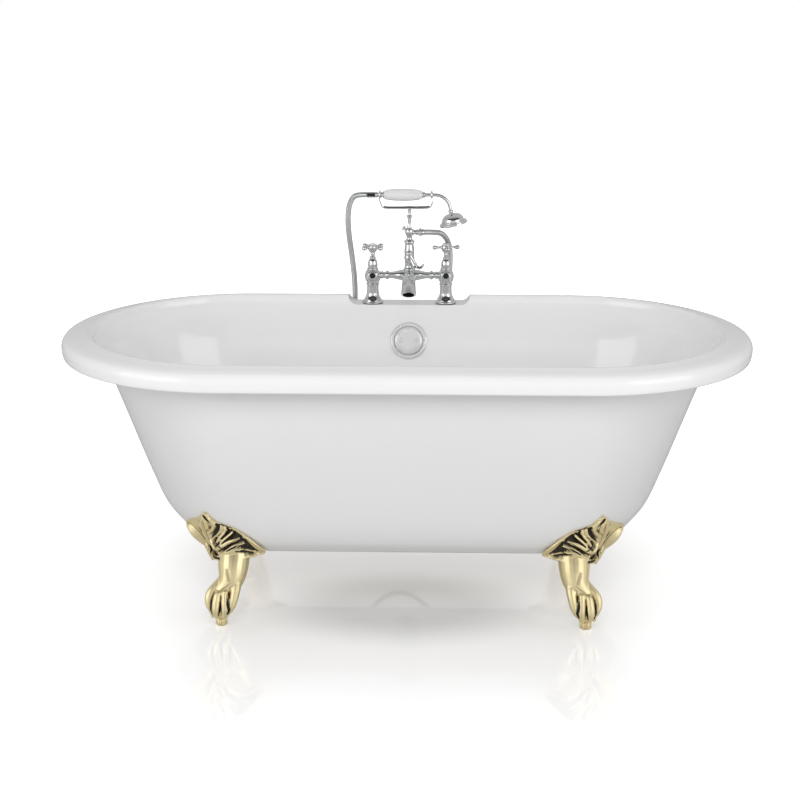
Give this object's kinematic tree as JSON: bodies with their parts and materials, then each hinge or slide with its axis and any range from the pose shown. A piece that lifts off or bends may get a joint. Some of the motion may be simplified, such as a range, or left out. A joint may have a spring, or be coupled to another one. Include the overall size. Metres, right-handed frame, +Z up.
{
  "type": "clawfoot bathtub",
  "caption": "Double-ended roll-top bath on claw feet, with a rim-mounted mixer tap, a cradled hand shower on a hose, a pop-up waste and levelling screws.",
  "frame": {"origin": "on the floor under the middle of the bath, cord nodes left out", "axes": "+X along the bath's length, towards the cold valve; +Y to the rear, where the mixer stands; +Z up"},
  "size_m": [1.55, 0.8082, 0.8792],
  "materials": {
    "acrylic": "gloss white cast acrylic",
    "board": "raw particle board",
    "gold": "polished pale gold plate, dark in the carving",
    "zinc": "zinc plated",
    "chrome": "polished chrome",
    "brass": "machined",
    "rubber": "matt black",
    "black_plastic": "moulded",
    "cable": "sheathed",
    "ceramic": "white glaze",
    "hose": "satin metal braid under clear sleeve"
  },
  "bodies": {
    "root": {"bath_shell": "acrylic", "outer_skirt": "acrylic", "base_board": "board", "claw_foot_rear_right": "gold", "claw_foot_rear_left": "gold", "claw_foot_front_right": "gold", "claw_foot_front_left": "gold", "levelling_nuts": "gold", "foot_plates": "zinc", "foot_bolts": "zinc", "foot_nuts": "zinc", "waste_flange": "chrome", "overflow_ring": "chrome", "bridge_and_spout": "chrome", "hot_pillar": "chrome", "cold_pillar": "chrome", "hot_bonnet": "chrome", "cold_bonnet": "chrome", "diverter_tower": "chrome", "shower_tee": "chrome", "hose_nut": "chrome", "cradle_stem": "chrome", "handset_cradle": "chrome", "tap_back_nuts": "brass", "waste_gasket": "rubber", "tap_washers": "rubber", "waste_body": "black_plastic", "overflow_body": "black_plastic", "overflow_duct": "black_plastic", "pop_up_cable": "cable", "shower_hose": "hose"},
    "hot_valve": {"hot_spindle": "brass", "hot_handle": "chrome", "hot_cap": "ceramic"},
    "cold_valve": {"cold_spindle": "brass", "cold_handle": "chrome", "cold_cap": "ceramic"},
    "diverter": {"diverter_lever": "chrome", "diverter_spindle": "brass"},
    "handset": {"handset_grip": "chrome", "handset_tail": "chrome", "handset_barrel": "ceramic", "handset_ferrule": "chrome", "handset_neck": "chrome", "rose_bell": "chrome", "rose_plate": "chrome"},
    "dial": {"overflow_dial": "chrome"},
    "plug": {"waste_plug": "chrome", "plug_seal": "rubber"},
    "level_front_left": {"levelling_screw_front_left": "gold"},
    "level_front_right": {"levelling_screw_front_right": "gold"},
    "level_rear_left": {"levelling_screw_rear_left": "gold"},
    "level_rear_right": {"levelling_screw_rear_right": "gold"}
  },
  "joints": [
    {"name": "hot_turn", "type": "hinge", "parent": "root", "child": "hot_valve", "pos_m": [-0.09, 0.352, 0.735], "axis": [0, 0, 1], "range_deg": [0, 90]},
    {"name": "cold_turn", "type": "hinge", "parent": "root", "child": "cold_valve", "pos_m": [0.09, 0.352, 0.735], "axis": [0, 0, 1], "range_deg": [-90, 0]},
    {"name": "diverter_turn", "type": "hinge", "parent": "root", "child": "diverter", "pos_m": [0, 0.352, 0.722], "axis": [0, 1, 0], "range_deg": [0, 70]},
    {"name": "handset_lift", "type": "slide", "parent": "root", "child": "handset", "axis": [0, 0, 1], "range_m": [0, 0.06], "deforming": ["shower_hose"]},
    {"name": "dial_turn", "type": "hinge", "parent": "root", "child": "dial", "pos_m": [0, 0.285, 0.516], "axis": [0, -0.9443, 0.329], "range_deg": [0, 90]},
    {"name": "plug_lift", "type": "slide", "parent": "root", "child": "plug", "axis": [0, 0, 1], "range_m": [0, 0.012]},
    {"name": "level_front_left_turn", "type": "hinge", "parent": "root", "child": "level_front_left", "pos_m": [-0.403, -0.252, 0], "axis": [0, 0, 1], "continuous": true},
    {"name": "level_front_right_turn", "type": "hinge", "parent": "root", "child": "level_front_right", "pos_m": [0.403, -0.252, 0], "axis": [0, 0, 1], "continuous": true},
    {"name": "level_rear_left_turn", "type": "hinge", "parent": "root", "child": "level_rear_left", "pos_m": [-0.403, 0.252, 0], "axis": [0, 0, 1], "continuous": true},
    {"name": "level_rear_right_turn", "type": "hinge", "parent": "root", "child": "level_rear_right", "pos_m": [0.403, 0.252, 0], "axis": [0, 0, 1], "continuous": true}
  ],
  "couplings": [
    {"joint": "plug_lift", "follows": "dial_turn", "m_per_rad": 0.0076394}
  ]
}
